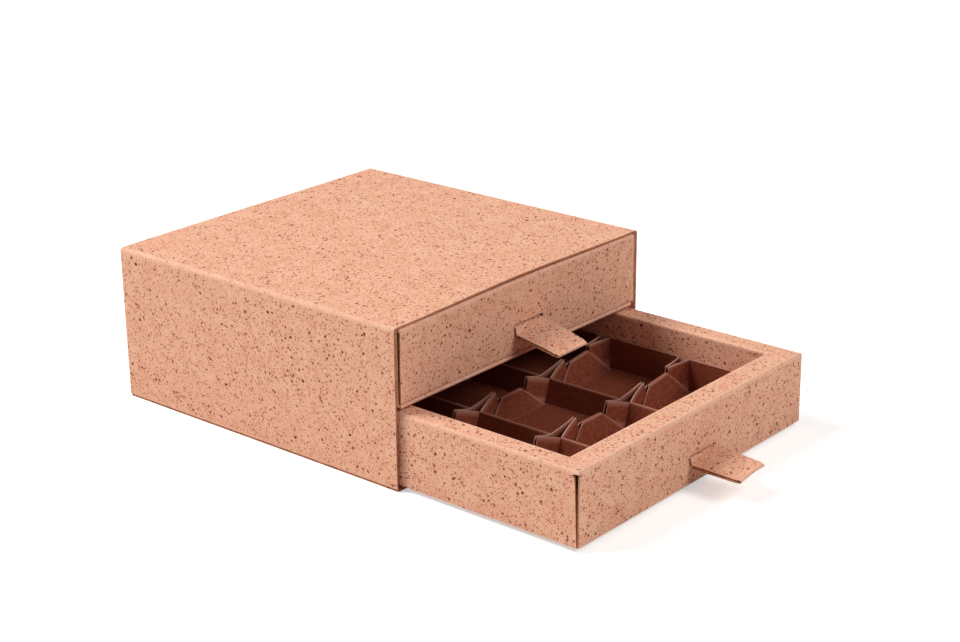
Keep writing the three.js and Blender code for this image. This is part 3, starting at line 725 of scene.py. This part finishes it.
# %% Tray bases
FLANGE, SIDE_STOP, BACK_STOP = 11.0, 46.85, 49.8   # height, and half lengths of the flanges
BASE_FOLD, BACK_BEND = 0.5, 0.8             # radius of the folds, room for the one at the back
base_x, base_y = DRAWER[0] / 2 - 1.5 * CARD - SEAT, DRAWER[1] / 2 - CARD - SEAT
line, wear_and_highlight = fold_line(
    [(-base_x, FLANGE), (-base_x, CARD / 2), (base_x, CARD / 2), (base_x, FLANGE)],
    [BASE_FOLD, BASE_FOLD])
reach = np.where(line[:, 1:] > CARD / 2 + NEAR, SIDE_STOP, base_y)
rear_reach = np.where(np.abs(line[:, :1]) < BACK_STOP, base_y - BACK_BEND, reach)
share = run(0.0, 2 * base_y) / (2 * base_y)
y = -reach + (reach + rear_reach) * share
grid = woven(line[:, :1], y, line[:, 1:])
back_y = base_y - CARD / 2
back_line, back_wear_and_highlight = fold_line(
    [(base_y - BACK_BEND, CARD / 2), (back_y, CARD / 2), (back_y, FLANGE)], [BASE_FOLD])
x = np.linspace(-BACK_STOP, BACK_STOP, 21)
flange = woven(x, back_line[:, :1], back_line[:, 1:])
for which, place in DRAWER_AT.items():
    parts = [sheet(grid, CARD, edge_wear_and_highlight(wear_and_highlight, y)), sheet(flange, CARD, edge_wear_and_highlight(back_wear_and_highlight, x))]
    piece(f"{which}_tray_floor", parts, [box_card, cut_card], f"{which}_drawer",
          [f"{which}_tray_base"], place)

# %% [markdown]
# ## Pull tabs
# A paper strip is folded double: it comes out of the slot, turns round at the tip and goes
# back in, and its ends are glued up and down behind the drawer's front. The two layers spring
# apart a little, which leaves the dark line along the tab's side. Use has bent each tab its own
# way: it droops, its left side curls down just outside the slot, and its sides aren't square.

# %% Pull tabs
TAB_REACH, TAB_MIDDLE = 17.4, DRAWER[2] / 2 - 3.6   # how far it stands out, and its height
TAB_GAP = 0.6                               # between the layers at the slot
TAB_NOSE = 0.36                             # radius that the strip turns round at the tip
TAB_ANCHOR, TAB_BEND = 6.0, 0.5             # length of each glued end, radius of its bend
TAB_CORNER = 0.4                            # radius of the corners at the tip
# left and right side at the slot, then at the tip
TAB_SIDES = {"lower": ((-3.8, 9.2), (-3.8, 9.4)), "upper": ((-4.8, 8.5), (-5.6, 9.4))}
TAB_DROOP = {"lower": 1.2, "upper": 4.7}
TAB_BOW = 0.44                              # share of the droop at the curve's middle handle
TAB_SPRING = 1.2                            # the layers' distance there, over that at the slot
TAB_CURL = {"lower": (2.0, 1.1), "upper": (2.3, 0.1)}   # fall of the left side: slot, tip
CURL_START, CURL_RAMP = 0.3, 0.5            # it starts this far out, and is whole this much later
CURL_WIDE = 0.7                             # share of the width that curls
OUT_STEPS = (0.0, 0.018, 0.032, 0.05, 0.08)   # points of the curves close to the slot
TIP_WEAR_AND_HIGHLIGHT, TIP_WIDE = 0.8, 1.0                # how much wear and painted highlight the tip's fold gets, and how far from it


def curve(start, pull, end, t):
    """Points of a quadratic curve: (1 - t)^2 start + 2 t (1 - t) pull + t^2 end."""
    t = t[:, None]
    start, pull, end = (np.array(point) for point in (start, pull, end))
    return (1 - t) ** 2 * start + 2 * t * (1 - t) * pull + t ** 2 * end


def pull_tab(which):
    """The strip's middle line in the plane x = 0, from the upper glued end round the tip to the
    lower one, carried across from the left side (s = 0) to the right (s = 1). Past the slot it
    falls by curl * (1 - s / CURL_WIDE)^1.5."""
    face, droop, m = -DRAWER[1] / 2, TAB_DROOP[which], TAB_MIDDLE
    behind = face + CARD + SEAT + TAB_PAPER / 2
    layer = TAB_GAP / 2 + TAB_PAPER / 2
    anchor = layer + TAB_BEND + TAB_ANCHOR
    tip = face - TAB_REACH
    turn = 0.5 * np.pi * np.linspace(0, 1, 5)[:, None]
    bend_in = np.array([behind - TAB_BEND, m + layer + TAB_BEND]) + TAB_BEND * np.concatenate(
        [np.cos(turn), -np.sin(turn)], axis=1)
    loop_turn = np.pi * np.linspace(0, 1, 7)[1:-1, None]
    nose = np.array([tip, m - droop]) + TAB_NOSE * np.concatenate(
        [-np.sin(loop_turn), np.cos(loop_turn)], axis=1)
    t = np.concatenate([OUT_STEPS, np.linspace(OUT_STEPS[-1], 1, 14)[1:]])
    upper, lower = (
        curve((face, m + way * layer),
              (face - TAB_REACH / 2, m - droop * TAB_BOW + way * layer * TAB_SPRING),
              (tip, m - droop + way * TAB_NOSE), t)
        for way in (1, -1))
    line = np.concatenate([
        [(behind, m + anchor)], bend_in, upper, nose, lower[::-1],
        (bend_in * [1, -1] + [0, 2 * m])[::-1], [(behind, m - anchor)],
    ])
    out = ((face - line[:, :1]) / TAB_REACH).clip(0, 1)
    to_arc = TAB_CORNER - (line[:, :1] - tip).clip(0, TAB_CORNER)
    cut = TAB_CORNER - np.sqrt((TAB_CORNER ** 2 - to_arc ** 2).clip(0))
    at_slot, at_tip = (np.array(sides) for sides in TAB_SIDES[which])
    left, right = np.split(at_slot + (at_tip - at_slot) * out + cut * [1, -1], 2, axis=1)
    s = np.linspace(0, 1, 17)
    x = left + (right - left) * s
    curl_slot, curl_tip = TAB_CURL[which]
    begun = ((face - line[:, :1] - CURL_START) / CURL_RAMP).clip(0, 1)
    curl = (curl_slot + (curl_tip - curl_slot) * out) * begun
    z = line[:, 1:] - curl * (1 - s / CURL_WIDE).clip(0) ** 1.5
    near_tip = (1 - np.abs(line[:, 0] - tip) / TIP_WIDE).clip(0, 1)
    return sheet(woven(x, line[:, :1], z), TAB_PAPER, TIP_WEAR_AND_HIGHLIGHT * edge_wear_and_highlight(near_tip, x))


for which, place in DRAWER_AT.items():
    piece(f"{which}_tab_strip", [pull_tab(which)], [box_card, cut_card],
          f"{which}_drawer", [f"{which}_pull_tab"], place)

# %% [markdown]
# ## Inserts
# One thin dark sheet is die-cut and folded into nine cells. Each row of cells is a strip that
# stands up at both sides and folds into a ridge between two cells. Other ridges run across, one
# cell wide, and their slanting ends were cut free. From each end of a wall a corner flap turns
# across it and tucks behind the slanting end, which keeps the cell square. The panels are drawn
# as separate sheets, laid edge to edge along the folds.

# %% Inserts
CELLS = 3
INSERT_SIZE = np.array([100.8, 91.4])
INSERT_ASIDE = 0.25                         # its middle, behind the drawer's middle
RIDGE, RIDGE_HALF, WALL = 7.8, 2.9, 12.0    # ridge: height, half width; side wall: height
CRESTS = {"row": 0.6, "cross": 1.0}         # blunt tops of the two kinds of ridge
INSERT_FOLD, CREST_FOLD = 0.25, 0.12        # radii at a ridge's foot and at its crest
CREST_LENGTH = 9.6                          # what the slanting cuts leave of a cross ridge
CUT_RISE, DIE_CUT = 0.3, 0.15               # the cuts' start above the floor, half their width
CUT_SHARE = 0.03                            # of the ridge's height: below it a strip isn't cut
FLAP_REACH, FLAP_INSET = 9.6, 0.9           # its length, its foot past the cell's edge
CREST_GAP, TIP_GAP = 1.9, 0.45              # its crest and tip, off the cross ridge's middle
FLAP_HINGE, FLAP_BOW = 0.1, 0.25            # its hinge inside the wall's end, its bow
CUT_SHINE, FLAP_SHINE, SHINE_WIDE = 0.8, 1.0, 0.3   # painted highlight: how pale the crests and cut edges are, how far in
FOOT_SHINE, BY_THE_FLOOR = 0.2, 1.0         # and the painted highlight on the folds up to this height over the floor
FLOOR = 1.95                                # middle of the floors' sheet
FLOOR_TOP = FLOOR + INSERT_CARD / 2
CELL = (INSERT_SIZE - 4 * RIDGE_HALF - np.array([2, 4]) * INSERT_CARD) / CELLS
FIRST = -INSERT_SIZE / 2 + np.array([1, 2]) * INSERT_CARD
PITCH = CELL + 2 * RIDGE_HALF
LIFT = {"lower": 2.8, "upper": 0.0}         # the lower one's right side rides up in its tray
LIFT_FROM, FLOOR_LIFT = 16.0, 0.4           # where the lift begins, the floor's share of it
print("cells:", CELL.round(2), "mm")


def past_edge(line):
    """How far a strip's foot and crest and a flap's tip go past the edge of the cell: into the
    cross ridge that they tuck under, or to the end wall."""
    if line in (0, CELLS):
        return 0.0, 0.0, 0.0
    return FLAP_INSET, RIDGE_HALF - CREST_GAP, RIDGE_HALF - TIP_GAP


def ridge_corners(start, crest):
    """Corners of a ridge's section: foot, the two sides of the blunt crest, foot."""
    top, half = FLOOR_TOP + RIDGE - INSERT_CARD / 2, crest / 2 - INSERT_CARD / 4
    middle = start + RIDGE_HALF
    return [(start, FLOOR), (middle - half, top), (middle + half, top),
            (middle + RIDGE_HALF, FLOOR)]


def strip(row):
    """A row of cells: the section is carried along Y. Where it stands up it goes past the cell, by
    foot + (crest - foot) rise, where rise is 0 at the floor and 1 at the crest."""
    side = INSERT_SIZE[0] / 2 - INSERT_CARD / 2
    corners, radii = [(-side, FLOOR_TOP + WALL), (-side, FLOOR)], [INSERT_FOLD]
    for column in range(1, CELLS):
        corners += ridge_corners(FIRST[0] + column * PITCH[0] - 2 * RIDGE_HALF, CRESTS["row"])
        radii += [INSERT_FOLD, CREST_FOLD, CREST_FOLD, INSERT_FOLD]
    corners += [(side, FLOOR), (side, FLOOR_TOP + WALL)]
    line, wear_and_highlight = fold_line(corners, radii + [INSERT_FOLD])
    front = FIRST[1] + row * PITCH[1]
    rise = ((line[:, 1] - FLOOR_TOP) / RIDGE).clip(0, 1)
    ends = []
    for foot, crest, _ in (past_edge(row), past_edge(row + 1)):
        ends.append(np.where(rise > CUT_SHARE, foot + (crest - foot) * rise, 0.0)[:, None])
    share = run(0.0, CELL[1], near=(0.2, 0.5)) / CELL[1]
    y = front - ends[0] + (CELL[1] + ends[0] + ends[1]) * share
    # painted highlight: the crests and cut ends are paler, the folds by the floor barely
    wear_and_highlight = wear_and_highlight * np.where(line[:, 1] > FLOOR_TOP + BY_THE_FLOOR, CUT_SHINE, FOOT_SHINE)
    return sheet(woven(line[:, :1], y, line[:, 1:]), INSERT_CARD,
                 edge_wear_and_highlight(wear_and_highlight, y, CUT_SHINE, SHINE_WIDE))


def cross_wall(line_number, column):
    """A ridge across a row, or an end wall. Its half width falls in a straight line from the
    cell's at the floor to what the slanting cuts leave at the crest."""
    y = FIRST[1] + line_number * PITCH[1]
    if line_number in (0, CELLS):
        y += -INSERT_CARD / 2 if line_number == 0 else INSERT_CARD / 2 - 2 * RIDGE_HALF
        corners, radii = [(y, FLOOR), (y, FLOOR_TOP + RIDGE)], []
    else:
        corners = ridge_corners(y - 2 * RIDGE_HALF, CRESTS["cross"])
        radii = [CREST_FOLD, CREST_FOLD]
    line, wear_and_highlight = fold_line(corners, radii)
    rise = ((line[:, 1] - FLOOR_TOP - CUT_RISE) / (RIDGE - CUT_RISE)).clip(0, 1)
    wide = CELL[0] / 2 - DIE_CUT
    wide = (wide + (CREST_LENGTH / 2 - wide) * rise)[:, None]
    x = FIRST[0] + column * PITCH[0] + CELL[0] / 2 + wide * np.linspace(-1, 1, 15)
    # painted highlight along the crest folds and the cut ends
    return sheet(woven(x, line[:, :1], line[:, 1:]), INSERT_CARD,
                 edge_wear_and_highlight(CUT_SHINE * wear_and_highlight, x, CUT_SHINE, SHINE_WIDE))


def flap(line_number, row, way, end):
    """A corner flap, hinged on the end of a wall: foot + across u + up v, bowed by
    FLAP_BOW sin(pi u). way is the way it points along X, and end is -1 at the cell's front and 1
    at its back."""
    leaning = 0 < line_number < CELLS
    foot_past, crest_past, tip_past = past_edge(row if end < 0 else row + 1)
    edge = FIRST[1] + row * PITCH[1] + (CELL[1] if end > 0 else 0.0)
    foot_x = FIRST[0] + line_number * PITCH[0] - (2 * RIDGE_HALF if way < 0 else 0.0)
    top_x = foot_x - way * (RIDGE_HALF - CRESTS["row"] / 2) if leaning else foot_x
    top_z = FLOOR_TOP + (RIDGE if leaning else WALL)
    foot = np.array([foot_x, edge + end * (foot_past - FLAP_HINGE), FLOOR_TOP])
    top = np.array([top_x, edge + end * (crest_past - FLAP_HINGE), top_z])
    up = unit(top - foot)
    facing = unit(np.cross([way * FLAP_REACH, end * (tip_past - crest_past), 0.0], up))
    across = np.cross(up, facing)
    u = np.linspace(0, 1, 9)[:, None, None]
    v = np.linspace(CUT_RISE + DIE_CUT, np.linalg.norm(top - foot) - DIE_CUT, 5)[None, :, None]
    bow = FLAP_BOW * np.sin(np.pi * u) * (end if facing[1] > 0 else -end)
    grid = foot + across * u * FLAP_REACH + up * v + facing * bow
    # painted highlight along the flap's cut edges
    shine = edge_wear_and_highlight(np.zeros(len(u)), v[..., 0], FLAP_SHINE, SHINE_WIDE)
    return sheet(grid, INSERT_CARD, shine)


def settled(points, lift):
    """The loose sheet doesn't lie quite flat: z + lift * h * s^2 (3 - 2 s). s goes from 0 past
    the middle to 1 at the right side, h from FLOOR_LIFT at the floor to 1 at the crests and back
    to 0 at the top of the side wall, which stays where it is."""
    s = ((points[:, 0] - LIFT_FROM) / (INSERT_SIZE[0] / 2 - LIFT_FROM)).clip(0, 1)
    crest = FLOOR_TOP + RIDGE
    h = np.interp(points[:, 2], [FLOOR, crest, FLOOR_TOP + WALL], [FLOOR_LIFT, 1.0, 0.0])
    return points + np.stack([0 * s, 0 * s, lift * h * s ** 2 * (3 - 2 * s)], axis=1)


panels = [strip(row) for row in range(CELLS)]
panels += [cross_wall(line_number, column)
           for line_number in range(CELLS + 1) for column in range(CELLS)]
panels += [flap(line_number, row, way, end)
           for row in range(CELLS) for line_number in range(CELLS + 1)
           for way in (-1, 1) if 0 <= line_number - (way < 0) < CELLS
           for end in (-1, 1)]
for which, place in DRAWER_AT.items():
    parts = [(settled(points, LIFT[which]), *rest) for points, *rest in panels]
    piece(f"{which}_cell_insert", parts, [dark_card, dark_cut_edge], f"{which}_drawer",
          [f"{which}_insert"], place + [0.0, INSERT_ASIDE, 0.0])

# %% [markdown]
# ## Studio
# A plain pale table, a white background and soft lamps, as for a catalogue picture. The main
# light comes from high up behind the box and to its left, so the top is the brightest side and
# the shadow falls forward to the right. A second lamp from above the front fills the drawers'
# faces, and a low strip gives the left side a little more. The table glows where it is seen, but
# doesn't light the box. It glows more far away, where it runs into the white background, and it
# keeps the box's shadow.

# %% Studio
TABLE_HALF = 9.0                            # metres, half the table's side
TABLE_COLOUR, WHITE = 0xF4F2F0, (1.0, 1.0, 1.0, 1.0)
GLOW_AT, GLOW = (0.4, 1.2), (0.5, 1.0)      # metres from the box, and its strength there
WORLD_STRENGTH = 0.12                       # what lights the box; the camera sees 1
AIM = np.array([0.0, -0.03, 0.02])          # metres, a point in the middle of the box


def lamp(name, at, width, height, watts):
    """A soft lamp of a width and height in metres at a point in metres, aimed at the box."""
    data = bpy.data.lights.new(name, "AREA")
    data.shape, data.size, data.size_y, data.energy = "RECTANGLE", width, height, watts
    away = unit(np.array(at) - AIM)
    side = unit(np.cross([0.0, 0.0, 1.0], away))
    aimed(name, data, (side, np.cross(away, side), away), at)


lamp("key_lamp", (-0.62, 0.74, 1.17), 0.65, 0.65, 19.8)
lamp("left_lamp", (-1.3, -0.1, 0.1), 1.4, 0.16, 0.5)
lamp("front_lamp", (0.35, -1.2, 1.18), 0.8, 0.8, 12.8)


def seen_directly(owner):
    """1 for a ray from the camera, a reflection or glass, which sees the background; else 0."""
    rays = node(owner, "LightPath").outputs
    seen = rays["Is Camera Ray"]
    for other in ("Is Glossy Ray", "Is Transmission Ray"):
        seen = node(owner, "Math", {"operation": "MAXIMUM"}, _0=seen, _1=rays[other])
    return seen


world = bpy.data.worlds.new("studio")
bpy.context.scene.world = world
world.use_nodes = True
world.node_tree.nodes.clear()
power = node(world, "MapRange", _0=seen_directly(world), _3=WORLD_STRENGTH, _4=1.0)
sky = node(world, "Background", Color=WHITE, Strength=power)
node(world, "OutputWorld", Surface=sky)

corners = TABLE_HALF * np.array([[-1, -1, 0], [1, -1, 0], [1, 1, 0], [-1, 1, 0]], float)
table_mesh = bpy.data.meshes.new("table")
table_mesh.from_pydata(corners.tolist(), [], [(0, 1, 2, 3)])
table = bpy.data.objects.new("table", table_mesh)
bpy.context.scene.collection.objects.link(table)
pale = new_material("pale_table")
diffuse = node(pale, "BsdfDiffuse", Color=linear(TABLE_COLOUR))
away = node(pale, "VectorMath", {"operation": "LENGTH"},
            _0=node(pale, "TexCoord").outputs["Object"])
power = node(pale, "MapRange", _0=away.outputs["Value"], _1=GLOW_AT[0], _2=GLOW_AT[1],
             _3=GLOW[0], _4=GLOW[1])
glow = node(pale, "Emission", Color=WHITE, Strength=power)
both = node(pale, "AddShader", _0=diffuse, _1=glow)
shown = node(pale, "MixShader", _0=seen_directly(pale), _1=diffuse, _2=both)
node(pale, "OutputMaterial", Surface=shown)
table_mesh.materials.append(pale)
bpy.context.scene.view_settings.view_transform = "Standard"
print("studio ready")
